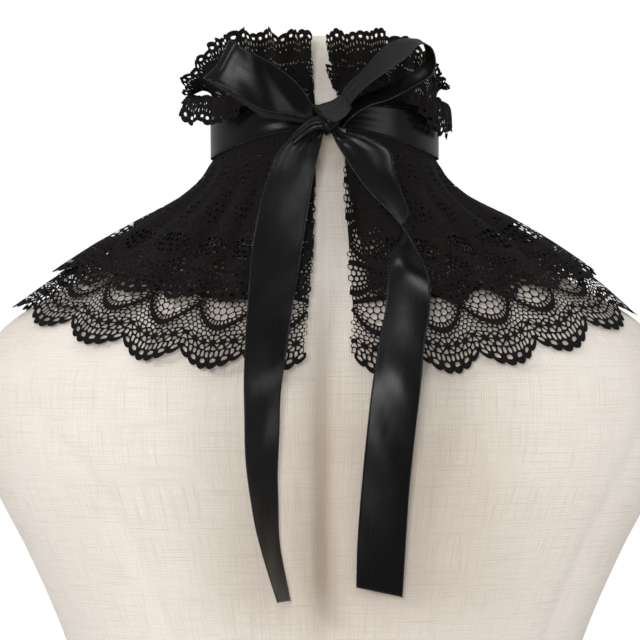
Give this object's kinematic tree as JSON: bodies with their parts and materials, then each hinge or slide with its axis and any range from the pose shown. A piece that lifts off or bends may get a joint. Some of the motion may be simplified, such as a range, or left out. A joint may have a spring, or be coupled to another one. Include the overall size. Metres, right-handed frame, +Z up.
{
  "type": "lace collar on a dress form",
  "caption": "Black lace cape collar with a standing neck ruffle and a tied satin ribbon, open at the back, worn on a linen-covered limbless dress form",
  "frame": {"origin": "centre of the dress form's flat base, below the neck's axis", "axes": "+Z up the neck, -Y toward the wearer's back and the tied bow, +X to the right as seen from the back"},
  "size_m": [0.382, 0.2381, 0.7207],
  "materials": {
    "linen": "plain woven natural linen, matte",
    "lace": "black galloon lace with scalloped edges, matte",
    "satin": "black satin ribbon, glossy face and matte back"
  },
  "bodies": {
    "root": {"dress_form": "linen", "lace_strip_long": "lace", "lace_strip_short": "lace", "neck_ribbon": "satin", "bow_knot": "satin", "bow_loop_left": "satin", "bow_loop_right": "satin", "ribbon_tail_left": "satin", "ribbon_tail_right": "satin"}
  },
  "joints": []
}
